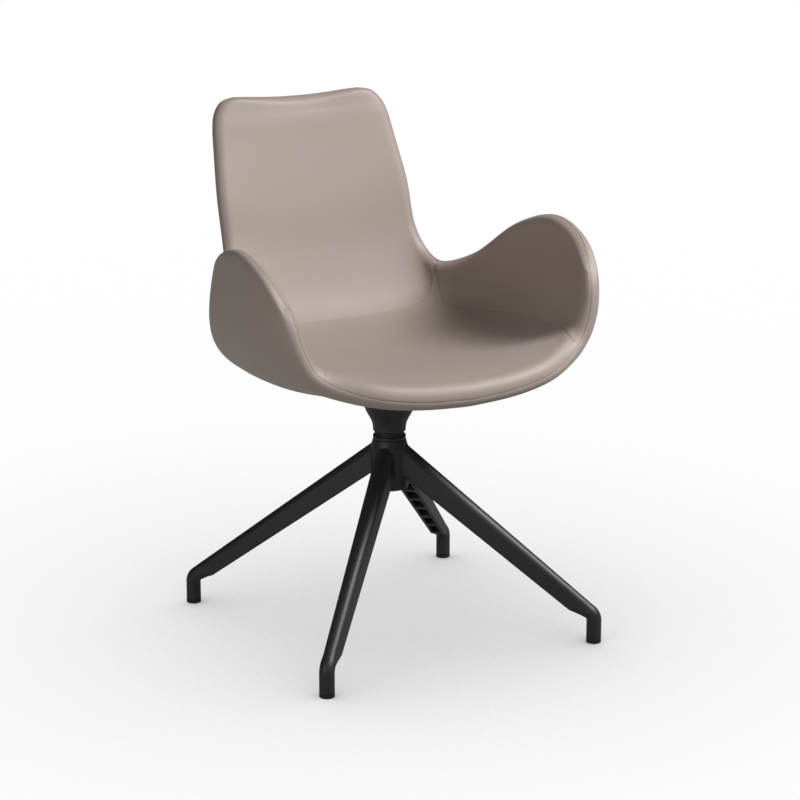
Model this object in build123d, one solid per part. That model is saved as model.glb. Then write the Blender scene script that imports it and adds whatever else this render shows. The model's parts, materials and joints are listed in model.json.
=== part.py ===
"""Swivel armchair: an upholstered bucket shell with petal arms on a four-leg cast base.

Millimetres, +Z up, the chair faces -Y. Everything is drawn about the swivel axis, with the
floor at Z = 0, and moved at the end so that the origin is the middle of the footprint.
"""
from build123d import *
import math
import os

# The middle of the footprint lies this far behind the swivel axis
AXIS_TO_MIDDLE = 39.0

# Base casting: hub, four legs and foot posts
FOOT_CIRCLE_RADIUS = 335.0
LEG_COUNT = 4
LEG_SLOPE_DEG = 38.0
POST_DIAMETER = 23.5
POST_BEND_RADIUS = 16.0
LEG_CORNER_HEIGHT = 44.0
LEG_ROOT_WIDTH = 33.0
LEG_ROOT_DEPTH = 39.0
LEG_TOE_DEPTH = 28.0
LEG_ROOT_RADIUS = 16.0
LEG_TOE_LENGTH = 28.0
LEG_SIDE_DRAFT = 1.5
POCKET_COUNT = 7
POCKET_WALL = 4.5
POCKET_RIB = 6.0
POCKET_DEPTH_SHARE = 0.55
POCKET_FIRST = 62.0
HUB_BOTTOM = 228.0
HUB_TOP = 308.0
HUB_RADIUS = 30.0
HUB_TOP_RADIUS = 26.0
HUB_NECK_HEIGHT = 14.0

# Glides under the foot posts
GLIDE_HEIGHT = 6.0
GLIDE_EDGE_ROUND = 1.2
GLIDE_STEM_RADIUS = 4.0
GLIDE_STEM_LENGTH = 18.0

# Swivel: spindle in two flanged bushes
SPINDLE_RADIUS = 12.5
RUNNING_CLEARANCE = 0.05
AXIAL_CLEARANCE = 0.1
BUSH_WALL = 2.5
LOWER_BUSH_LENGTH = 18.0
UPPER_BUSH_LENGTH = 20.0
BUSH_FLANGE = 2.5
LOWER_FLANGE_RADIUS = 19.0
UPPER_HEAD_RADIUS = 23.4
UPPER_HEAD_HEIGHT = 9.0
TRIM_RING_WALL = 2.3
TRIM_RING_HEIGHT = 5.5
TRIM_RING_CLEARANCE = 0.3
THRUST_WASHER_RADIUS = 22.5
THRUST_WASHER_HEIGHT = 3.5
RECESS_RADIUS = 21.0
RECESS_DEPTH = 24.0
KEEPER_WASHER_RADIUS = 18.0
KEEPER_WASHER_HEIGHT = 3.0
KEEPER_SCREW_RADIUS = 4.0
KEEPER_SCREW_LENGTH = 22.0
KEEPER_HEAD_ACROSS = 13.0
KEEPER_HEAD_HEIGHT = 5.3
SCREW_HOLE_CLEARANCE = 0.2
HUB_CAP_THICKNESS = 3.0
HUB_CAP_SKIRT = 7.0
HUB_CAP_WALL = 2.5

# Flared bell that carries the shell
BELL_FOOT_RADIUS = 26.0
BELL_THROAT_RADIUS = 52.0
BELL_FLANGE_RADIUS = 68.0
BELL_FLANGE_THICKNESS = 9.0
BELL_TOP = 398.0
SPINDLE_SEAT_DEPTH = 60.0
SHELL_SCREW_CIRCLE = 116.0
SHELL_SCREW_COUNT = 4
SHELL_SCREW_RADIUS = 3.0
SHELL_SCREW_GRIP = 13.0
SHELL_SCREW_HEAD_RADIUS = 5.5
SHELL_SCREW_HEAD_HEIGHT = 3.6
INSERT_RADIUS = 5.0
INSERT_LENGTH = 11.0

# Bucket shell, drawn about the swivel axis on the +X side. The front edge runs from the middle
# of the seat out and up the front of the arm. Each station is one rib across the shell: the
# rim's x, y, z, then the middle's y, z, then how far out the rib stays flat, how far it bulges
# and how high the bulge sits. The front edge pulls the shell over as many stations as its reach.
FRONT_EDGE = [
    (0, -256, 432),
    (78, -251, 436),
    (147, -240, 447),
    (200, -217, 463),
    (228, -203, 483),
    (240, -201, 503),
    (249, -199, 526),
    (255, -192, 552),
    (260, -181, 575),
]
STATIONS = [
    (260, -181, 575, -256, 432, 0.95, 1.06, 0.20),
    (270, -125, 620, -165, 434, 1.03, 1.10, 0.18),
    (269, -48, 637, -70, 421, 1.08, 1.13, 0.19),
    (254, 42, 609, 25, 415, 1.08, 1.15, 0.22),
    (217, 112, 552, 110, 421, 1.08, 1.17, 0.27),
    (179, 172, 537, 180, 456, 1.05, 1.15, 0.30),
    (167, 222, 590, 229, 545, 0.80, 1.00, 0.45),
    (158, 251, 665, 262, 638, 0.60, 0.88, 0.50),
    (150, 280, 742, 292, 725, 0.50, 0.80, 0.50),
    (147, 290, 768, 304, 762, 0.50, 0.80, 0.50),
    (141, 298, 788, 309, 775, 0.50, 0.80, 0.50),
    (127, 305, 803, 314, 788, 0.50, 0.80, 0.50),
    (107, 308, 808, 318, 800, 0.50, 0.80, 0.50),
]
TOP_STATION = len(STATIONS) - 1
FRONT_REACH = 2.0
SEAT_PAD = 24.0
BACK_PAD = 16.0
RIM_PAD = 13.0
OUTER_PAD = 15.0
RIM_ROUND = 18.0
RIM_EDGE = 3.0
PAD_GAP = 0.8
CORE_THICKNESS = 4.0
CORE_EDGE = 0.5
CORE_INSET = 11.0
CORE_END_INSET = 20.0
CORE_BAND = (18.0, 48.0)
COVER_BAND = (0.0, 27.0)
COVER_HOLLOW = 6.2
EDGE_ROWS = [0, 4, 9, 16, 26, 40, 60]
ROW_STEP = 35.0
RIB_STEPS = [0, 0.13, 0.26, 0.39, 0.52, 0.64, 0.75, 0.84, 0.91, 0.96, 0.985, 1]
BOSS_RADIUS = 66.0
SEAM_SHARES = [0.46, 0.47, 0.50, 0.57, 0.72, 0.98]
SEAM_GAP_SHARE = 0.006
ARM_SEAM_END = 4.75
ARM_GLUE = 1.4
SEAT_STATION_END = 4.0
BACK_STATION_START = 6.0


def through(rows, column, place):
    """The value at a place along a column of a list, on a smooth curve through its rows."""
    last = len(rows) - 1
    first = min(int(place), last - 1)
    f = place - first
    a, b, c, d = (rows[min(max(first + k, 0), last)][column] for k in (-1, 0, 1, 2))
    if first == 0:
        a = 2 * b - c
    if first == last - 1:
        d = 2 * c - b
    return b + f * ((c - a) + f * ((2 * a - 5 * b + 4 * c - d) + f * (3 * b - 3 * c + d - a))) / 2


def station_point(place, side):
    """A point of the rib at that place along the stations, side of the way from middle to rim."""
    rim = [through(STATIONS, k, place) for k in (0, 1, 2)]
    middle = [0.0, through(STATIONS, 3, place), through(STATIONS, 4, place)]
    flat, bulge, rise = (through(STATIONS, k, place) for k in (5, 6, 7))
    b1, b2, b3 = 3 * side * (1 - side) ** 2, 3 * side**2 * (1 - side), side**3
    up = b2 * rise + b3
    return (
        rim[0] * (b1 * flat + b2 * bulge + b3),
        middle[1] + up * (rim[1] - middle[1]),
        middle[2] + up * (rim[2] - middle[2]),
    )


def rib_point(place, share):
    """A point of the shell's middle surface: place counts stations, share runs from middle to rim."""
    side = abs(share)
    point = station_point(place, side)
    if place < FRONT_REACH:
        pull = (1 - place / FRONT_REACH) ** 2
        edge = [through(FRONT_EDGE, k, side * (len(FRONT_EDGE) - 1)) for k in (0, 1, 2)]
        first = station_point(0, side)
        point = [p + pull * (e - f) for p, e, f in zip(point, edge, first)]
    return Vector(math.copysign(point[0], share), point[1], point[2])


def rib_normal(place, share):
    """The inward normal of the middle surface there."""
    step = 0.02
    along = rib_point(min(place + step, TOP_STATION), share) - rib_point(max(place - step, 0), share)
    across = rib_point(place, min(share + step, 1)) - rib_point(place, max(share - step, -1))
    return across.cross(along).normalized()


def edge_share(distance):
    """How much of the full pad is left at that distance from the rim, rounded over."""
    inside = min(max(distance / RIM_ROUND, 0.0), 1.0)
    return 1 - (1 - inside) ** 2.5


def rim_distance(place, share):
    """Rough distance from a point of the shell to the nearest rim."""
    here = rib_point(place, share)
    to_side = (rib_point(place, math.copysign(1, share)) - here).length
    to_front = (rib_point(0, share) - here).length
    to_top = (rib_point(TOP_STATION, share) - here).length
    return to_side, min(to_front, to_top)


def pad_height(place, share):
    """Full thickness of the inner pad: deepest on the seat, thinner on the back and arms."""
    turn = (place - SEAT_STATION_END) / (BACK_STATION_START - SEAT_STATION_END)
    turn = min(max(turn, 0.0), 1.0)
    middle = SEAT_PAD + (BACK_PAD - SEAT_PAD) * turn
    return RIM_PAD + (middle - RIM_PAD) * (1 - share**2)


def rounded(place, share, full):
    to_side, to_end = rim_distance(place, share)
    return RIM_EDGE + (full - RIM_EDGE) * edge_share(to_side) * edge_share(to_end)


def places_along(start=0.0):
    """Places of the ribs from the front edge to the top edge, closer together at both."""
    fine = [k / 20 for k in range(20 * TOP_STATION + 1)]
    walked = [0.0]
    for before, after in zip(fine, fine[1:]):
        walked.append(walked[-1] + (rib_point(after, 0) - rib_point(before, 0)).length)
    total = walked[-1]
    inner = total - 2 * EDGE_ROWS[-1]
    count = round(inner / ROW_STEP)
    goals = [d + start * (1 - d / EDGE_ROWS[-1]) for d in EDGE_ROWS]
    goals += [EDGE_ROWS[-1] + inner * k / count for k in range(1, count)]
    goals += [total - d for d in reversed(goals[: len(EDGE_ROWS)])]
    places = []
    for goal in goals:
        k = max(j for j in range(len(fine) - 1) if walked[j] <= goal + 1e-6)
        places.append(fine[k] + (goal - walked[k]) / (walked[k + 1] - walked[k]) * 0.05)
    return places


FULL_STEPS = [-step for step in reversed(RIB_STEPS[1:])] + RIB_STEPS
PLACES = places_along()


def layer(top, bottom, shares, places):
    """A curved slab of the shell between two heights over the middle surface.

    The shares function gives the shares of one rib, from its first edge to its last.
    """
    ribs = []
    for place in places:
        across = shares(place)
        knots = [k / (len(across) - 1) for k in range(len(across))]
        upper = [rib_point(place, s) + rib_normal(place, s) * top(place, s) for s in across]
        lower = [rib_point(place, s) + rib_normal(place, s) * bottom(place, s) for s in across]
        above = Edge.make_spline(upper, parameters=knots)
        below = Edge.make_spline(lower, parameters=knots)
        back = Edge.make_spline(list(reversed(lower)), parameters=knots)
        sides = [Edge.make_line(upper[k], lower[k]) for k in (-1, 0)]
        ribs.append((Wire([above, sides[0], back, sides[1]]), above, below))
    skin = Shell.make_loft([rib[0] for rib in ribs])
    ends = [Face.make_surface_from_curves(rib[1], rib[2]) for rib in (ribs[0], ribs[-1])]
    return Solid(Shell(skin.faces() + ends))


def inset_share(place, inset):
    """The share that lies that far inside the rim."""
    return 1 - inset / ((rib_point(place, 1) - rib_point(place, 0.96)).length / 0.04)


def seam_share(place):
    """Where the seam between the middle pad and an arm pad crosses a rib."""
    if place >= len(SEAM_SHARES) - 1:
        return 1.0
    return through([(share,) for share in SEAM_SHARES], 0, place)


def ramp(place, share, start, end):
    """Smooth step from 0 to 1 between two distances from the rim."""
    f = min(max((min(rim_distance(place, share)) - start) / (end - start), 0.0), 1.0)
    return f * f * (3 - 2 * f)


def ring(outer, inner, bottom, top):
    """A plain ring about the swivel axis."""
    tube = Pos(0, 0, bottom) * Cylinder(outer, top - bottom, align=(Align.CENTER, Align.CENTER, Align.MIN))
    if inner:
        tube -= Pos(0, 0, bottom - 1) * Cylinder(
            inner, top - bottom + 2, align=(Align.CENTER, Align.CENTER, Align.MIN)
        )
    return tube


def around(shape, count, start=0.0):
    """Copies of a shape, evenly spaced about the swivel axis."""
    return [Rot(0, 0, start + 360 / count * k) * shape for k in range(count)]


# One leg, drawn along +X: its tube line meets the post line at the corner point
SLOPE = math.radians(LEG_SLOPE_DEG)
POST_RADIUS = POST_DIAMETER / 2
CORNER = Vector(FOOT_CIRCLE_RADIUS, 0, LEG_CORNER_HEIGHT)
UPHILL = Vector(-math.cos(SLOPE), 0, math.sin(SLOPE))
OVER_LEG = Vector(math.sin(SLOPE), 0, math.cos(SLOPE))
BEND_TANGENT = POST_BEND_RADIUS * math.tan((math.pi / 2 - SLOPE) / 2)
TOE = BEND_TANGENT + LEG_TOE_LENGTH
ROOT = (FOOT_CIRCLE_RADIUS - LEG_ROOT_RADIUS) / math.cos(SLOPE)


def leg_plane(length):
    """The plane across the leg at that length up from the corner, its origin on the leg's ridge."""
    return Plane(CORNER + UPHILL * length + OVER_LEG * POST_RADIUS, x_dir=(0, 1, 0), z_dir=UPHILL)


def leg_size(length):
    """Width and depth of the leg at that length."""
    share = (length - TOE) / (ROOT - TOE)
    width = POST_DIAMETER + share * (LEG_ROOT_WIDTH - POST_DIAMETER)
    return width, LEG_TOE_DEPTH + share * (LEG_ROOT_DEPTH - LEG_TOE_DEPTH)


def leg_section(length):
    """Arched section of the leg: flat below, drafted sides, a rounded ridge."""
    width, depth = leg_size(length)
    half = width / 2
    shoulder = half - LEG_SIDE_DRAFT
    drop = shoulder * 0.75
    outline = [
        ThreePointArc((-shoulder, drop), (0, 0), (shoulder, drop)),
        Line((shoulder, drop), (half, depth)),
        Line((half, depth), (-half, depth)),
        Line((-half, depth), (-shoulder, drop)),
    ]
    return leg_plane(length) * make_face(outline)


def tube_section(length):
    """The round section where the leg turns down into its post."""
    r = POST_RADIUS
    c = r / math.sqrt(2)
    outline = [
        ThreePointArc((-c, r - c), (0, 0), (c, r - c)),
        ThreePointArc((c, r - c), (r, r), (c, r + c)),
        ThreePointArc((c, r + c), (0, 2 * r), (-c, r + c)),
        ThreePointArc((-c, r + c), (-r, r), (-c, r - c)),
    ]
    return leg_plane(length) * make_face(outline)


def leg():
    """A leg with its elbow, foot post and the row of pockets in its underside."""
    beam = loft([leg_section(TOE), leg_section(ROOT)], ruled=True)
    toe = loft([tube_section(BEND_TANGENT), leg_section(TOE)], ruled=True)
    pivot = CORNER + UPHILL * BEND_TANGENT - OVER_LEG * POST_BEND_RADIUS
    elbow = revolve(tube_section(BEND_TANGENT), Axis(pivot, (0, 1, 0)), 90 - LEG_SLOPE_DEG)
    post_top = LEG_CORNER_HEIGHT - BEND_TANGENT
    post = Pos(FOOT_CIRCLE_RADIUS, 0, GLIDE_HEIGHT) * Cylinder(
        POST_RADIUS, post_top - GLIDE_HEIGHT, align=(Align.CENTER, Align.CENTER, Align.MIN)
    )
    shape = beam + toe + elbow + post
    pitch = (ROOT - POCKET_FIRST - TOE) / POCKET_COUNT
    for k in range(POCKET_COUNT):
        middle = TOE + pitch * (k + 0.5)
        width, depth = leg_size(middle)
        floor = CORNER + UPHILL * middle + OVER_LEG * (POST_RADIUS - depth)
        mouth = Plane(floor - OVER_LEG * 4, x_dir=UPHILL, z_dir=OVER_LEG)
        outline = RectangleRounded(pitch - POCKET_RIB, width - 2 * POCKET_WALL, POCKET_WALL)
        shape -= extrude(mouth * outline, 4 + depth * POCKET_DEPTH_SHARE)
    return shape


def base_casting():
    """Hub and four legs in one casting, bored for the bushes, recessed below for the keeper."""
    bush_outer = SPINDLE_RADIUS + RUNNING_CLEARANCE + BUSH_WALL
    neck = HUB_TOP - HUB_NECK_HEIGHT
    side = [
        Line((0, HUB_BOTTOM), (HUB_RADIUS, HUB_BOTTOM)),
        Line((HUB_RADIUS, HUB_BOTTOM), (HUB_RADIUS, neck)),
        Line((HUB_RADIUS, neck), (HUB_TOP_RADIUS, HUB_TOP)),
        Line((HUB_TOP_RADIUS, HUB_TOP), (0, HUB_TOP)),
        Line((0, HUB_TOP), (0, HUB_BOTTOM)),
    ]
    shape = revolve(Plane.XZ * make_face(side), Axis.Z)
    one_leg = leg()
    for copy in around(one_leg, LEG_COUNT, 45):
        shape += copy
    shape -= ring(2 * HUB_RADIUS, 0, HUB_BOTTOM - 60, HUB_BOTTOM) & ring(HUB_RADIUS, 0, 0, HUB_TOP)
    shape -= ring(HUB_RADIUS, 0, HUB_TOP, HUB_TOP + 60)
    shape -= ring(bush_outer, 0, HUB_BOTTOM - 1, HUB_TOP + 1)
    shape -= ring(RECESS_RADIUS, 0, HUB_BOTTOM - 1, HUB_BOTTOM + RECESS_DEPTH)
    stem = ring(GLIDE_STEM_RADIUS, 0, GLIDE_HEIGHT - 1, GLIDE_HEIGHT + GLIDE_STEM_LENGTH + 1)
    for copy in around(Pos(FOOT_CIRCLE_RADIUS, 0, 0) * stem, LEG_COUNT, 45):
        shape -= copy
    return shape


def glide():
    """A black glide: a rounded disc with a stem pushed up into the foot post."""
    disc = ring(POST_RADIUS, 0, 0, GLIDE_HEIGHT)
    disc = fillet(disc.edges().group_by(Axis.Z)[0], GLIDE_EDGE_ROUND)
    return Pos(FOOT_CIRCLE_RADIUS, 0, 0) * (
        disc + ring(GLIDE_STEM_RADIUS, 0, GLIDE_HEIGHT, GLIDE_HEIGHT + GLIDE_STEM_LENGTH)
    )


def flanged_bush(bottom, length, flange_radius, flange, flange_on_top):
    """A bush in the hub's bore; its flange lies on the hub's face."""
    bore = SPINDLE_RADIUS + RUNNING_CLEARANCE
    body = ring(bore + BUSH_WALL, bore, bottom, bottom + length)
    low = bottom + length if flange_on_top else bottom - flange
    return body + ring(flange_radius, bore, low, low + flange)


def swivel_bell():
    """The flared casting on the spindle, with a screwed flange under the shell."""
    foot = BELL_FOOT
    flange_low = BELL_TOP - BELL_FLANGE_THICKNESS
    rise = flange_low - foot
    flare = Spline(
        (BELL_FOOT_RADIUS, foot + 1),
        (BELL_FOOT_RADIUS + 2.3, foot + 0.23 * rise),
        (BELL_FOOT_RADIUS + 10.8, foot + 0.47 * rise),
        (BELL_THROAT_RADIUS, flange_low - 3),
        tangents=[(0, 1), (0.8, 1)],
    )
    side = [
        Line((0, foot), (BELL_FOOT_RADIUS - 1, foot)),
        Line((BELL_FOOT_RADIUS - 1, foot), flare @ 0),
        flare,
        Line(flare @ 1, (BELL_THROAT_RADIUS, flange_low)),
        Line((BELL_THROAT_RADIUS, flange_low), (BELL_FLANGE_RADIUS, flange_low)),
        Line((BELL_FLANGE_RADIUS, flange_low), (BELL_FLANGE_RADIUS, BELL_TOP)),
        Line((BELL_FLANGE_RADIUS, BELL_TOP), (0, BELL_TOP)),
        Line((0, BELL_TOP), (0, foot)),
    ]
    shape = revolve(Plane.XZ * make_face(side), Axis.Z)
    shape -= ring(SPINDLE_RADIUS, 0, foot - 1, foot + SPINDLE_SEAT_DEPTH)
    hole = ring(SHELL_SCREW_RADIUS + SCREW_HOLE_CLEARANCE, 0, flange_low - 1, BELL_TOP + 1)
    for copy in around(Pos(SHELL_SCREW_CIRCLE / 2, 0, 0) * hole, SHELL_SCREW_COUNT, 45):
        shape -= copy
    return shape


def shell_screws():
    """The screws up through the bell's flange into the shell's inserts."""
    low = BELL_TOP - BELL_FLANGE_THICKNESS
    screw = ring(SHELL_SCREW_RADIUS, 0, low, low + BELL_FLANGE_THICKNESS + SHELL_SCREW_GRIP - 4)
    head = ring(SHELL_SCREW_HEAD_RADIUS, 0, low - SHELL_SCREW_HEAD_HEIGHT, low)
    head = fillet(head.edges().group_by(Axis.Z)[0], 1.5)
    socket = extrude(Pos(0, 0, low - SHELL_SCREW_HEAD_HEIGHT) * RegularPolygon(2.3, 6), 2)
    one = Pos(SHELL_SCREW_CIRCLE / 2, 0, 0) * (screw + head - socket)
    return Compound(around(one, SHELL_SCREW_COUNT, 45))


def inserts():
    """Threaded inserts moulded into the shell's boss."""
    one = ring(INSERT_RADIUS, SHELL_SCREW_RADIUS + RUNNING_CLEARANCE, BELL_TOP, BELL_TOP + INSERT_LENGTH)
    return Compound(around(Pos(SHELL_SCREW_CIRCLE / 2, 0, 0) * one, SHELL_SCREW_COUNT, 45))


CORE_TOP = 1.2 * PAD_GAP


def shell_core():
    """The moulded shell inside the padding, thinned to its edge, with a flat boss for the bell."""
    slab = layer(
        lambda p, s: -CORE_TOP,
        lambda p, s: -CORE_TOP - CORE_EDGE - (CORE_THICKNESS - CORE_EDGE) * ramp(p, s, *CORE_BAND),
        lambda p: [step * inset_share(p, CORE_INSET) for step in FULL_STEPS],
        places_along(CORE_END_INSET),
    )
    middle = through(STATIONS, 4, 3) - CORE_TOP - CORE_THICKNESS / 2
    shape = slab + ring(BOSS_RADIUS, 0, BELL_TOP, middle)
    hole = Pos(SHELL_SCREW_CIRCLE / 2, 0, 0) * ring(INSERT_RADIUS, 0, BELL_TOP - 1, BELL_TOP + INSERT_LENGTH)
    for copy in around(hole, SHELL_SCREW_COUNT, 45):
        shape -= copy
    return shape


def outer_cover():
    """The padded cover outside the core, full at the rim, open round the boss."""
    pad = layer(
        lambda p, s: -PAD_GAP / 2 - (COVER_HOLLOW - PAD_GAP / 2) * ramp(p, s, *COVER_BAND),
        lambda p, s: -rounded(p, s, OUTER_PAD),
        lambda p: FULL_STEPS,
        PLACES,
    )
    return pad - ring(BOSS_RADIUS + PAD_GAP, 0, BELL_TOP - 20, BELL_TOP + 30)


def pad_top(place, share):
    return rounded(place, share, pad_height(place, share))


def pad_bottom(place, share):
    return PAD_GAP / 2


def arm_bottom(place, share):
    return PAD_GAP / 2 + ARM_GLUE


def middle_pad():
    """The pad of the seat and the back, up to the seams inside the arms."""
    return layer(pad_top, pad_bottom, lambda p: [step * seam_share(p) for step in FULL_STEPS], PLACES)


def arm_pad(side):
    """The pad inside one arm, from the seam out to the rim."""

    def shares(place):
        start = seam_share(place) + SEAM_GAP_SHARE
        across = [start + step * (1 - start) for step in RIB_STEPS]
        return across if side > 0 else [-share for share in reversed(across)]

    return layer(pad_top, arm_bottom, shares, [p for p in PLACES if p < ARM_SEAM_END])


BELL_FOOT = HUB_TOP + UPPER_HEAD_HEIGHT + THRUST_WASHER_HEIGHT + AXIAL_CLEARANCE
RECESS_TOP = HUB_BOTTOM + RECESS_DEPTH
SPINDLE_FOOT = RECESS_TOP - BUSH_FLANGE - AXIAL_CLEARANCE
KEEPER_LOW = SPINDLE_FOOT - KEEPER_WASHER_HEIGHT

nodes = {}
nodes["base_casting"] = base_casting()
for name, turn in (("front_right", -45), ("rear_right", 45), ("rear_left", 135), ("front_left", 225)):
    nodes["glide_" + name] = Rot(0, 0, turn) * glide()
nodes["lower_bush"] = flanged_bush(RECESS_TOP, LOWER_BUSH_LENGTH, LOWER_FLANGE_RADIUS, BUSH_FLANGE, False)
nodes["upper_bush"] = flanged_bush(
    HUB_TOP - UPPER_BUSH_LENGTH, UPPER_BUSH_LENGTH, UPPER_HEAD_RADIUS, UPPER_HEAD_HEIGHT, True
)
nodes["thrust_washer"] = ring(
    THRUST_WASHER_RADIUS,
    SPINDLE_RADIUS + 2 * RUNNING_CLEARANCE,
    HUB_TOP + UPPER_HEAD_HEIGHT,
    HUB_TOP + UPPER_HEAD_HEIGHT + THRUST_WASHER_HEIGHT,
)
ring_inner = UPPER_HEAD_RADIUS + TRIM_RING_CLEARANCE
nodes["hub_trim_ring"] = ring(ring_inner + TRIM_RING_WALL, ring_inner, HUB_TOP, HUB_TOP + TRIM_RING_HEIGHT)
nodes["hub_cap"] = ring(RECESS_RADIUS, 0, HUB_BOTTOM, HUB_BOTTOM + HUB_CAP_THICKNESS) + ring(
    RECESS_RADIUS, RECESS_RADIUS - HUB_CAP_WALL, HUB_BOTTOM, HUB_BOTTOM + HUB_CAP_SKIRT
)

nodes["swivel_bell"] = swivel_bell()
nodes["spindle"] = ring(SPINDLE_RADIUS, 0, SPINDLE_FOOT, BELL_FOOT + SPINDLE_SEAT_DEPTH) - ring(
    KEEPER_SCREW_RADIUS + RUNNING_CLEARANCE, 0, SPINDLE_FOOT - 1, SPINDLE_FOOT + KEEPER_SCREW_LENGTH
)
nodes["keeper_washer"] = ring(
    KEEPER_WASHER_RADIUS, KEEPER_SCREW_RADIUS + SCREW_HOLE_CLEARANCE, KEEPER_LOW, SPINDLE_FOOT
)
keeper_head = extrude(
    Pos(0, 0, KEEPER_LOW - KEEPER_HEAD_HEIGHT) * RegularPolygon(KEEPER_HEAD_ACROSS / 2, 6, major_radius=False),
    KEEPER_HEAD_HEIGHT,
)
nodes["keeper_screw"] = keeper_head + ring(
    KEEPER_SCREW_RADIUS, 0, KEEPER_LOW, SPINDLE_FOOT + KEEPER_SCREW_LENGTH - 2
)
nodes["shell_screws"] = shell_screws()
nodes["shell_inserts"] = inserts()
nodes["shell_core"] = shell_core()
nodes["outer_cover"] = outer_cover()
nodes["seat_back_pad"] = middle_pad()
nodes["arm_pad_left"] = arm_pad(-1)
nodes["arm_pad_right"] = arm_pad(1)

# The origin is the middle of the footprint, on the floor
os.makedirs("parts", exist_ok=True)
for name, shape in nodes.items():
    export_step(Pos(0, -AXIS_TO_MIDDLE, 0) * shape, f"parts/{name}.step")
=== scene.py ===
"""Swivel armchair: leather-covered bucket shell with petal arms on a black cast base."""
import json
import math

import bmesh
import bpy
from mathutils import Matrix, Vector


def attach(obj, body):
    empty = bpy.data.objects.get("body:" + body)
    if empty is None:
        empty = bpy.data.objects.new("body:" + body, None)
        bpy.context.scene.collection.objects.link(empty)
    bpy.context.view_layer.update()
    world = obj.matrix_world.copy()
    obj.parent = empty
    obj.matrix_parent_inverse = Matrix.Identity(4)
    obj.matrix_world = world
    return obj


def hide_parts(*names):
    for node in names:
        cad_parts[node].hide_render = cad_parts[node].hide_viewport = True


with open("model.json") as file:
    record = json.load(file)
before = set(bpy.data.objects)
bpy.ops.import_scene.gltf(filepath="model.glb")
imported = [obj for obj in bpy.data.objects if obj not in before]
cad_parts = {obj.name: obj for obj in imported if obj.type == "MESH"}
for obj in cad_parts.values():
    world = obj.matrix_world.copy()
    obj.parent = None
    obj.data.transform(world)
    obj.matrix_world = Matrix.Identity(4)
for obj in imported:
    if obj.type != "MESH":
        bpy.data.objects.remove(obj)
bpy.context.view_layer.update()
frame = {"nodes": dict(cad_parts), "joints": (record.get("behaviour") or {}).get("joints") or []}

# Cast base, bell and trim ring: die-cast aluminium with a satin black powder coat. The coat rounds
# the edges of the castings a little, and its fine orange peel and faint patches soften the
# highlights.
EDGE_RADIUS, EDGE_SAMPLES = 0.004, 8
PEEL_DETAIL = 3.0


def new_finish(name):
    """A finish and its shader, still plain."""
    material = bpy.data.materials.new(name)
    material.use_nodes = True
    return material, material.node_tree.nodes["Principled BSDF"]


def pattern(shader, kind, scale):
    """A pattern that lies on a piece by the piece's own coordinates."""
    tree = shader.id_data
    texture = tree.nodes.new(kind)
    texture.inputs["Scale"].default_value = scale
    place = tree.nodes.new("ShaderNodeTexCoord")
    tree.links.new(place.outputs["Object"], texture.inputs["Vector"])
    return texture


def shade_by(shader, amount, dark, light):
    """Let a pattern shift the colour between two shades."""
    tree = shader.id_data
    tone = tree.nodes.new("ShaderNodeMix")
    tone.data_type = "RGBA"
    tone.inputs["A"].default_value = dark
    tone.inputs["B"].default_value = light
    tree.links.new(amount, tone.inputs["Factor"])
    tree.links.new(tone.outputs["Result"], shader.inputs["Base Color"])


def dull_by(shader, amount, smoothest, roughest):
    """Let a pattern shift the roughness between two values."""
    tree = shader.id_data
    shine = tree.nodes.new("ShaderNodeMapRange")
    shine.inputs["To Min"].default_value = smoothest
    shine.inputs["To Max"].default_value = roughest
    tree.links.new(amount, shine.inputs["Value"])
    tree.links.new(shine.outputs["Result"], shader.inputs["Roughness"])


def emboss_by(shader, height, strength, depth):
    """Let a pattern stand up as a fine relief."""
    tree = shader.id_data
    bump = tree.nodes.new("ShaderNodeBump")
    bump.inputs["Strength"].default_value = strength
    bump.inputs["Distance"].default_value = depth
    tree.links.new(height, bump.inputs["Height"])
    tree.links.new(bump.outputs["Normal"], shader.inputs["Normal"])
    return bump


def dress(names, material):
    """Give solids that no leather piece stands for their finish."""
    for name in names:
        slots = frame["nodes"][name].data.materials
        slots.clear()
        slots.append(material)


coat, shader = new_finish("black_powder_coat")
patches = pattern(shader, "ShaderNodeTexNoise", scale=14.0)
shade_by(
    shader, patches.outputs["Fac"], dark=(0.015, 0.015, 0.0155, 1), light=(0.019, 0.019, 0.0195, 1)
)
dull_by(shader, patches.outputs["Fac"], smoothest=0.44, roughest=0.52)
peel = pattern(shader, "ShaderNodeTexNoise", scale=1400.0)
peel.inputs["Detail"].default_value = PEEL_DETAIL
peel_relief = emboss_by(shader, peel.outputs["Fac"], strength=0.02, depth=0.0001)
soft_edge = coat.node_tree.nodes.new("ShaderNodeBevel")
soft_edge.samples = EDGE_SAMPLES
soft_edge.inputs["Radius"].default_value = EDGE_RADIUS
coat.node_tree.links.new(soft_edge.outputs["Normal"], peel_relief.inputs["Normal"])
dress(["base_casting", "swivel_bell", "hub_trim_ring"], coat)

# Glides, bushes and hub cap: black moulded nylon, pressed into the casting, matt with a faint
# grain from the mould.
NYLON_ROUGHNESS = 0.6

nylon, shader = new_finish("black_nylon")
shader.inputs["Roughness"].default_value = NYLON_ROUGHNESS
wear = pattern(shader, "ShaderNodeTexNoise", scale=120.0)
shade_by(shader, wear.outputs["Fac"], dark=(0.004, 0.004, 0.004, 1), light=(0.008, 0.008, 0.008, 1))
mould_grain = pattern(shader, "ShaderNodeTexNoise", scale=1500.0)
emboss_by(shader, mould_grain.outputs["Fac"], strength=0.15, depth=0.0002)
glides = [name for name in frame["nodes"] if name.startswith("glide_")]
dress(glides + ["lower_bush", "upper_bush", "hub_cap"], nylon)

# Thrust washer: a hardened steel ring on which the bell turns. Its edge shows in the gap between
# bell and hub, and its near-black colour is painted shade, standing for the dark of that gap.
# Near-black painted shade for the washer's edge in the gap between bell and hub.
GAP_SHADE_BLACK = (0.006, 0.006, 0.007, 1)

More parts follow.
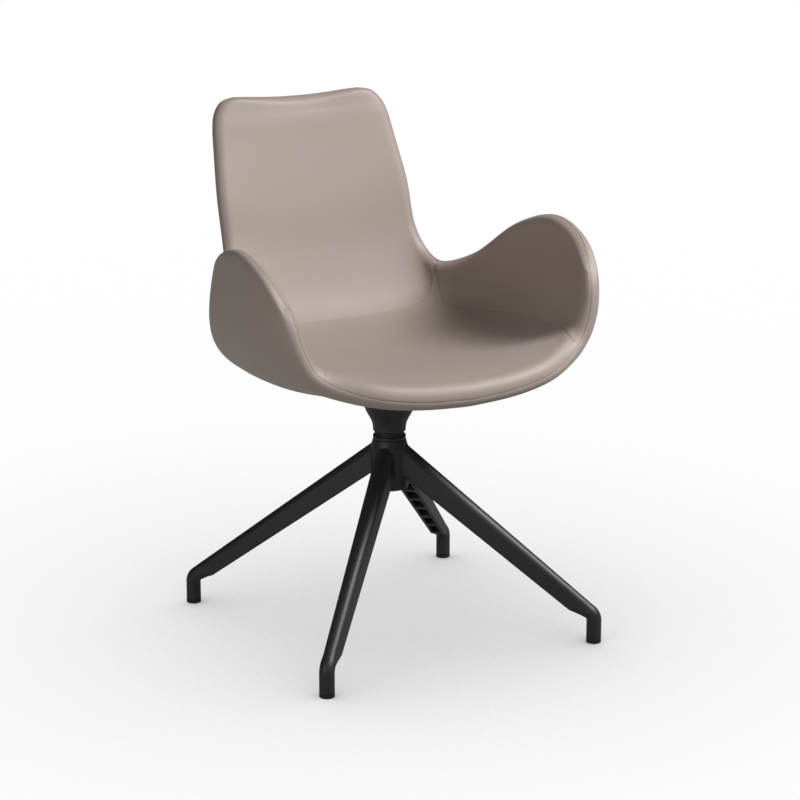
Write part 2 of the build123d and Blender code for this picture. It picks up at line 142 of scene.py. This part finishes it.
gap_shade_steel, shader = new_finish("steel_painted_gap_shade")
shader.inputs["Base Color"].default_value = GAP_SHADE_BLACK
gloss_patches = pattern(shader, "ShaderNodeTexNoise", scale=90.0)
dull_by(shader, gloss_patches.outputs["Fac"], smoothest=0.40, roughest=0.55)
dress(["thrust_washer"], gap_shade_steel)

# Spindle, keeper and screws: bright zinc-plated steel, turned, so the finish has fine rings. The
# spindle is pressed into the bell, and the keeper holds it down from below.
ZINC = (0.55, 0.55, 0.56, 1)
RING_WANDER = 1.5

steel, shader = new_finish("zinc_steel")
shader.inputs["Base Color"].default_value = ZINC
shader.inputs["Metallic"].default_value = 1.0
rings = pattern(shader, "ShaderNodeTexWave", scale=600.0)
rings.bands_direction = "Z"
rings.inputs["Distortion"].default_value = RING_WANDER
dull_by(shader, rings.outputs["Fac"], smoothest=0.25, roughest=0.4)
dress(["spindle", "keeper_washer", "keeper_screw", "shell_screws"], steel)

# Screw inserts: short turned brass sleeves, moulded into the boss of the shell core, where they
# take the four screws.
BRASS = (0.60, 0.50, 0.28, 1)

brass, shader = new_finish("turned_brass")
shader.inputs["Base Color"].default_value = BRASS
shader.inputs["Metallic"].default_value = 1.0
rings = pattern(shader, "ShaderNodeTexWave", scale=500.0)
rings.bands_direction = "Z"
dull_by(shader, rings.outputs["Fac"], smoothest=0.28, roughest=0.42)
dress(["shell_inserts"], brass)

# Shell core: dark grey structural plastic, moulded in one piece with its boss and closed in by the
# padding, with a dull skin from the mould.
PLASTIC_ROUGHNESS = 0.65

plastic, shader = new_finish("grey_shell_plastic")
shader.inputs["Roughness"].default_value = PLASTIC_ROUGHNESS
flow = pattern(shader, "ShaderNodeTexNoise", scale=25.0)
shade_by(shader, flow.outputs["Fac"], dark=(0.110, 0.110, 0.110, 1), light=(0.130, 0.130, 0.130, 1))
dress(["shell_core"], plastic)

# Leather upholstery: smooth taupe hide pulled tight over moulded foam, sewn from a seat-and-back
# panel, two arm panels and one outer panel. The panels meet in turned seams, inside the arms and
# round the rim, where the inner panels roll over the edge.
AXIS_Y = frame["joints"][0]["pos_m"][1]
# Half of the shell's front edge, from the middle to the rim
FRONT_EDGE = [
    (0.000, -0.256, 0.432),
    (0.078, -0.251, 0.436),
    (0.147, -0.239, 0.447),
    (0.200, -0.214, 0.464),
    (0.228, -0.198, 0.484),
    (0.240, -0.193, 0.505),
    (0.249, -0.189, 0.530),
    (0.255, -0.182, 0.558),
    (0.260, -0.171, 0.582),
]
# One rib across the shell per row: rim x, y, z, the middle's y, z, then flat, bulge and rise
RIBS = [
    (0.260, -0.171, 0.582, -0.256, 0.432, 0.95, 1.06, 0.20),
    (0.270, -0.115, 0.628, -0.165, 0.434, 1.01, 1.09, 0.25),
    (0.270, -0.038, 0.646, -0.070, 0.421, 1.05, 1.13, 0.30),
    (0.256, 0.050, 0.617, 0.025, 0.415, 1.05, 1.15, 0.33),
    (0.221, 0.118, 0.558, 0.110, 0.421, 1.06, 1.17, 0.33),
    (0.182, 0.175, 0.541, 0.180, 0.456, 0.96, 1.06, 0.40),
    (0.173, 0.222, 0.588, 0.229, 0.545, 0.66, 0.90, 0.50),
    (0.171, 0.249, 0.667, 0.262, 0.638, 0.60, 0.88, 0.50),
    (0.163, 0.280, 0.744, 0.292, 0.725, 0.50, 0.80, 0.50),
    (0.159, 0.292, 0.775, 0.306, 0.769, 0.50, 0.80, 0.60),
    (0.152, 0.301, 0.795, 0.312, 0.784, 0.50, 0.80, 0.75),
    (0.137, 0.308, 0.811, 0.317, 0.798, 0.50, 0.80, 0.90),
    (0.113, 0.312, 0.816, 0.321, 0.810, 0.50, 0.80, 1.00),
]
TOP_RIB = len(RIBS) - 1
# Ribs over which the front edge pulls the shell, and where the top corners begin
FRONT_REACH = 2.0
CORNER_RIB, CORNER_INSET = 8.5, 0.35
# The seams inside the arms: share at the front, drift along the arm, then the turn to the rim
SEAM_FRONT, SEAM_DRIFT = 0.46, 0.0035
SEAM_TURN, SEAM_END = 4.45, 4.95
# Ribs between which the heights on the seat and arms change to those on the back
SEAT_END, BACK_START = 4.0, 6.0
# Heights of the leather over the shell's middle: full, at the rims and at the seam round the rim
SEAT_PAD, BACK_PAD, OUTER_PAD = 0.024, 0.016, 0.016
ARM_RIM, BACK_RIM, OUTER_BACK_RIM = 0.010, 0.006, 0.011
FRONT_SEAM, RIM_SEAM, SEAM_EASE = 0.0, -0.005, 1.2
# Roll over the rim, the lips of the rim's seam, and the dip and fold of the arm seams
SIDE_ROUND, END_ROUND, RIM_POWER = 0.013, 0.024, 2.6
SEAM_LIP = 0.0006
SEAM_TUCK, TUCK_WIDTH = 0.0009, 0.0025
FOLD_TUCK, FOLD_GAP = 0.0015, 0.0002
# Distance of each edge row from the border. The first turns in under the seam, the second holds
# the fold crisp.
BORDER = [0.0012, 0.0, 0.0, 0.0006, 0.0018, 0.0045, 0.0090, 0.0140]
BORDER_SHARE = 0.9
FRONT_PER_RIB, TOP_PER_RIB = 0.070, 0.0165
# Rows of the panels on the seat, at the turn and up the back, the turn's crowded to its end
SEAT_ROWS, TURN_ROWS, BACK_ROWS, TURN_CROWDING = 22, 16, 30, 1.6
# Steps for slopes and lengths on the shell, and the part of a rib that stands for the arm
SLOPE_STEP, BORDER_STEP = 0.02, 0.04
ARM_SHARE, ARM_STEP = 0.9, 0.1
MERGE_DISTANCE = 0.00001


def within(value, first, last):
    """How far a value has come from first to last, from 0 to 1."""
    return min(max((value - first) / (last - first), 0.0), 1.0)


def along(rows, column, place):
    """Smooth curve through one column of a list of rows."""
    last = len(rows) - 1
    first = min(int(place), last - 1)
    f = place - first
    a, b, c, d = (rows[min(max(first + k, 0), last)][column] for k in (-1, 0, 1, 2))
    a = 2 * b - c if first == 0 else a
    d = 2 * c - b if first == last - 1 else d
    return b + f * ((c - a) + f * ((2 * a - 5 * b + 4 * c - d) + f * (3 * b - 3 * c + d - a))) / 2


def rib_point(place, side):
    """Point of a rib, side of the way from the middle to the rim."""
    rim = [along(RIBS, k, place) for k in (0, 1, 2)]
    middle = (along(RIBS, 3, place), along(RIBS, 4, place))
    flat, bulge, rise = (along(RIBS, k, place) for k in (5, 6, 7))
    b1, b2, b3 = 3 * side * (1 - side) ** 2, 3 * side**2 * (1 - side), side**3
    up = b2 * rise + b3
    return (
        rim[0] * (b1 * flat + b2 * bulge + b3),
        middle[0] + up * (rim[1] - middle[0]),
        middle[1] + up * (rim[2] - middle[1]),
    )


def shell_point(place, share):
    """Middle surface of the shell: place counts ribs, share runs from the middle to the rim."""
    side = abs(share)
    point = rib_point(place, side)
    if place < FRONT_REACH:
        pull = (1 - place / FRONT_REACH) ** 2
        edge = [along(FRONT_EDGE, k, side * (len(FRONT_EDGE) - 1)) for k in (0, 1, 2)]
        point = [p + pull * (e - f) for p, e, f in zip(point, edge, rib_point(0, side))]
    return Vector((math.copysign(point[0], share), point[1] + AXIS_Y, point[2]))


def shell_normal(place, share):
    """Unit normal of the middle surface, towards the sitter, taken inside the top corners."""
    widest = 1 - CORNER_INSET * within(place, CORNER_RIB, TOP_RIB)
    share = min(max(share, -widest), widest)
    above, below = min(place + SLOPE_STEP, TOP_RIB), max(place - SLOPE_STEP, 0)
    right, left = min(share + SLOPE_STEP, 1), max(share - SLOPE_STEP, -1)
    on = shell_point(above, share) - shell_point(below, share)
    out = shell_point(place, right) - shell_point(place, left)
    return out.cross(on).normalized()


def rib_length(place, share, step):
    """Metres along a rib for each unit of share, just inside a given share."""
    return (shell_point(place, share) - shell_point(place, share - step)).length / step


def rim_gap(place, share):
    """Distances from a point of the shell to its side rim and to its front or top edge."""
    here = shell_point(place, share)
    side = (shell_point(place, math.copysign(1, share)) - here).length
    front = (shell_point(0, share) - here).length
    top = (shell_point(TOP_RIB, share) - here).length
    return side, min(front, top)


def rolled(place, share):
    """Share of the full pad that is left near the rim, where the leather rolls over the edge."""
    side, end = rim_gap(place, share)
    if side + end == 0.0:
        return 0.0
    distance = side * end / math.hypot(side, end)
    reach = (SIDE_ROUND * end + END_ROUND * side) / (side + end)
    return math.sqrt(1 - (1 - min(distance / reach, 1.0)) ** RIM_POWER)


def eased(first, last, place):
    """Blend from a value on the seat to one on the back."""
    turn = within(place, SEAT_END, BACK_START)
    return first + (last - first) * turn**2 * (3 - 2 * turn)


def foam(place, share):
    """Full height of the inner pads: deepest on the seat, thinner on the back and the arms."""
    rim = eased(ARM_RIM, BACK_RIM, place)
    return rim + (eased(SEAT_PAD, BACK_PAD, place) - rim) * (1 - share**2)


def edge_seam(place):
    """Height of the seam round the rim: in view under the front lip, behind the rim elsewhere."""
    ahead = max(1 - place / SEAM_EASE, 0.0)
    return RIM_SEAM + (FRONT_SEAM - RIM_SEAM) * ahead**2


def seam_at(place):
    """Share where the seam between the seat panel and an arm panel crosses a rib."""
    low = SEAM_FRONT + SEAM_DRIFT * min(place, SEAM_END) ** 2
    return low + (1 - low) * within(place, SEAM_TURN, SEAM_END) ** 3


def seam_lean(place):
    """How much longer the way along a rib is than the straight way to the seam."""
    if place >= SEAM_END:
        return 1.0
    ahead, behind = place + SLOPE_STEP, max(place - SLOPE_STEP, 0)
    rise = (seam_at(ahead) - seam_at(behind)) / (2 * SLOPE_STEP)
    across = rib_length(place, ARM_SHARE, ARM_STEP)
    inside = ARM_SHARE - ARM_STEP
    onward = (shell_point(ahead, inside) - shell_point(place, inside)).length / SLOPE_STEP
    return math.hypot(1, rise * across / onward)


def inner_height(place, share, fold):
    """The inner panels' skin: full foam, rolled over at the rim, turned in at the arm seam."""
    low = edge_seam(place) + SEAM_LIP
    left = rolled(place, share)
    height = low + (foam(place, share) - low) * left
    if place < SEAM_END:
        across = rib_length(place, ARM_SHARE, ARM_STEP)
        to_seam = abs(abs(share) - seam_at(place)) * across / seam_lean(place)
        near = 1 - min(to_seam / TUCK_WIDTH, 1)
        height -= SEAM_TUCK * (1 - math.sqrt(1 - near**2)) * left
    return height - (FOLD_TUCK * left + FOLD_GAP) * fold


def outer_height(place, share, fold):
    """The outer panel's skin, rolled over at the rim."""
    low = edge_seam(place) - SEAM_LIP
    rim = eased(OUTER_PAD, OUTER_BACK_RIM, place)
    full = rim + (OUTER_PAD - rim) * (1 - share**2)
    return low - (full + low) * rolled(place, share) + FOLD_GAP * fold


def spaced(first, last, count, border):
    """Steps from first to last: the border's at both ends, evenly between them."""
    reach = BORDER_SHARE * (last - first) / 2
    scale = min(1.0, reach / border[-1])
    low = [first + d * scale for d in border]
    high = [last - d * scale for d in reversed(border)]
    evenly = [low[-1] + (high[0] - low[-1]) * k / count for k in range(1, count)]
    return low + evenly + high


def panel(name, node, places, limits, skin, columns):
    """A closed leather-covered pad: a front skin and a hidden back that meet at the border."""
    bm = bmesh.new()
    across = len(BORDER) * 2 + columns - 2
    downward = len(places) - 1
    shares = []
    for place in places:
        first, last = limits(place)
        lean = seam_lean(place) if (first, last) != (-1.0, 1.0) else 1.0
        metres = rib_length(place, last, BORDER_STEP)
        shares.append(spaced(first, last, columns, [d * lean / metres for d in BORDER]))
    for side in ("front", "back"):
        made = bmesh.ops.create_grid(bm, x_segments=across, y_segments=downward, size=1.0)
        for vert in made["verts"]:
            i = round((vert.co.x + 1) / 2 * across)
            j = round((vert.co.y + 1) / 2 * downward)
            place, share = places[j], shares[j][i]
            lift = edge_seam(place)
            if side == "front" and i not in (0, across) and j not in (0, downward):
                lift = skin(place, share, 1 in (i, across - i))
            vert.co = shell_point(place, share) + shell_normal(place, share) * lift
    bmesh.ops.remove_doubles(bm, verts=bm.verts, dist=MERGE_DISTANCE)
    bmesh.ops.recalc_face_normals(bm, faces=bm.faces)
    mesh = bpy.data.meshes.new(name)
    bm.to_mesh(mesh)
    bm.free()
    mesh.shade_smooth()
    piece = bpy.data.objects.new(name, mesh)
    bpy.context.scene.collection.objects.link(piece)
    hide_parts(node)
    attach(piece, "seat")
    return piece


front_rows = [d / FRONT_PER_RIB for d in BORDER]
top_rows = [TOP_RIB - d / TOP_PER_RIB for d in reversed(BORDER)]
seat_rows = [
    front_rows[-1] + (SEAM_TURN - front_rows[-1]) * k / SEAT_ROWS for k in range(1, SEAT_ROWS + 1)
]
turn_rows = [
    SEAM_TURN + (SEAM_END - SEAM_TURN) * (1 - (1 - k / TURN_ROWS) ** TURN_CROWDING)
    for k in range(1, TURN_ROWS + 1)
]
back_rows = [SEAM_END + (top_rows[0] - SEAM_END) * k / BACK_ROWS for k in range(1, BACK_ROWS)]
whole = front_rows + seat_rows + turn_rows + back_rows + top_rows
arm_rows = front_rows + seat_rows + turn_rows[:-1]

leather_pieces = [
    panel(
        "seat_back_leather", "seat_back_pad", whole,
        lambda place: (-seam_at(place), seam_at(place)),
        inner_height, columns=36,
    ),
    panel(
        "outer_leather", "outer_cover", whole, lambda place: (-1.0, 1.0),
        outer_height, columns=56,
    ),
    panel(
        "arm_leather_right", "arm_pad_right", arm_rows, lambda place: (seam_at(place), 1.0),
        inner_height, columns=14,
    ),
    panel(
        "arm_leather_left", "arm_pad_left", arm_rows, lambda place: (-1.0, -seam_at(place)),
        inner_height, columns=14,
    ),
]

LEATHER_DARK, LEATHER_LIGHT = (0.300, 0.242, 0.209, 1), (0.335, 0.272, 0.236, 1)
SHEEN_WEIGHT, SHEEN_ROUGHNESS = 0.12, 0.5
HIDE_DETAIL = 4.0

leather, shader = new_finish("taupe_leather")
shader.inputs["Sheen Weight"].default_value = SHEEN_WEIGHT
shader.inputs["Sheen Roughness"].default_value = SHEEN_ROUGHNESS
hide = pattern(shader, "ShaderNodeTexNoise", scale=9.0)
hide.inputs["Detail"].default_value = HIDE_DETAIL
shade_by(shader, hide.outputs["Fac"], LEATHER_DARK, LEATHER_LIGHT)
dull_by(shader, hide.outputs["Fac"], smoothest=0.47, roughest=0.58)
grain = pattern(shader, "ShaderNodeTexVoronoi", scale=900.0)
pores = pattern(shader, "ShaderNodeTexNoise", scale=1800.0)
relief = leather.node_tree.nodes.new("ShaderNodeMath")
relief.operation = "ADD"
leather.node_tree.links.new(grain.outputs["Distance"], relief.inputs[0])
leather.node_tree.links.new(pores.outputs["Fac"], relief.inputs[1])
emboss_by(shader, relief.outputs["Value"], strength=0.12, depth=0.0004)
for piece in leather_pieces:
    piece.data.materials.append(leather)
    finer = piece.modifiers.new("finer", "SUBSURF")
    finer.levels = finer.render_levels = 1

# Studio: a white floor that runs out of sight, and a white sky, both at full strength for the
# camera only.
# The floor is no lit surface but a glowing one. Its darkening under the chair is painted shade
# taken from ambient occlusion, and for other rays it glows dimly as painted bounce light on the
# chair. A strong key light stands at the front right, with weak lights in front, above and on the
# left.
FLOOR_HALF, FLOOR_GLOW, SKY_GLOW = 30.0, 0.35, 0.08
SHADE_REACH, SHADE_SAMPLES = 3.0, 16
WHITE = (1, 1, 1, 1)

bm = bmesh.new()
bmesh.ops.create_grid(bm, x_segments=1, y_segments=1, size=FLOOR_HALF)
floor_mesh = bpy.data.meshes.new("floor")
bm.to_mesh(floor_mesh)
bm.free()
floor = bpy.data.objects.new("floor", floor_mesh)
bpy.context.scene.collection.objects.link(floor)
painted_shade_floor = bpy.data.materials.new("floor_painted_shade")
painted_shade_floor.use_nodes = True
nodes, links = painted_shade_floor.node_tree.nodes, painted_shade_floor.node_tree.links
nodes.remove(nodes["Principled BSDF"])
# The floor's colour is the ambient occlusion, as painted shade under the chair. It glows at full
# strength for the camera and at FLOOR_GLOW, as painted bounce light, for other rays.
shade = nodes.new("ShaderNodeAmbientOcclusion")
shade.samples = SHADE_SAMPLES
shade.inputs["Distance"].default_value = SHADE_REACH
glow = nodes.new("ShaderNodeEmission")
rays = nodes.new("ShaderNodeLightPath")
dim = nodes.new("ShaderNodeMapRange")
dim.inputs["To Min"].default_value = FLOOR_GLOW
links.new(rays.outputs["Is Camera Ray"], dim.inputs["Value"])
links.new(dim.outputs["Result"], glow.inputs["Strength"])
links.new(shade.outputs["Color"], glow.inputs["Color"])
links.new(glow.outputs["Emission"], nodes["Material Output"].inputs["Surface"])
floor_mesh.materials.append(painted_shade_floor)

world = bpy.data.worlds.new("studio")
world.use_nodes = True
bpy.context.scene.world = world
nodes, links = world.node_tree.nodes, world.node_tree.links
sky = nodes["Background"]
sky.inputs["Color"].default_value = WHITE
sky.inputs["Strength"].default_value = SKY_GLOW
seen = nodes.new("ShaderNodeBackground")
seen.inputs["Color"].default_value = WHITE
rays = nodes.new("ShaderNodeLightPath")
pick = nodes.new("ShaderNodeMixShader")
links.new(rays.outputs["Is Camera Ray"], pick.inputs["Fac"])
links.new(sky.outputs["Background"], pick.inputs[1])
links.new(seen.outputs["Background"], pick.inputs[2])
links.new(pick.outputs["Shader"], nodes["World Output"].inputs["Surface"])

# Place, width and power of each light
LIGHTS = {
    "key": ((2.1, -1.65, 3.15), 1.4, 174.0),
    "front": ((0.2, -3.2, 2.3), 2.0, 10.0),
    "top": ((0.6, 0.4, 3.4), 2.4, 3.0),
    "left": ((-2.6, -1.4, 1.0), 1.6, 21.0),
}
LIGHTS_AIM = Vector((0, AXIS_Y, 0.45))
for name, (spot, width, power) in LIGHTS.items():
    lamp = bpy.data.lights.new(name, "AREA")
    lamp.size = width
    lamp.energy = power
    light = bpy.data.objects.new(name, lamp)
    light.location = spot
    light.rotation_euler = (LIGHTS_AIM - Vector(spot)).to_track_quat("-Z", "Y").to_euler()
    bpy.context.scene.collection.objects.link(light)

# Camera: at the photograph's viewing angle, about four metres away, well above the arms, with a
# long lens.
CAMERA_AZIMUTH, CAMERA_ELEVATION = math.radians(-28.903), math.radians(14.798)
CAMERA_DISTANCE = 4.0241
CAMERA_TARGET = Vector((0, AXIS_Y, 0.4162))
FOCAL_LENGTH, LENS_SHIFT = 115.3, (0.01327, -0.03578)

backwards = Vector(
    (
        math.sin(CAMERA_AZIMUTH) * math.cos(CAMERA_ELEVATION),
        -math.cos(CAMERA_AZIMUTH) * math.cos(CAMERA_ELEVATION),
        math.sin(CAMERA_ELEVATION),
    )
)
lens = bpy.data.cameras.new("camera")
lens.lens = FOCAL_LENGTH
lens.shift_x, lens.shift_y = LENS_SHIFT
camera = bpy.data.objects.new("camera", lens)
camera.location = CAMERA_TARGET + backwards * CAMERA_DISTANCE
camera.rotation_euler = backwards.to_track_quat("Z", "Y").to_euler()
bpy.context.scene.collection.objects.link(camera)
bpy.context.scene.camera = camera
bpy.context.scene.view_settings.view_transform = "Standard"
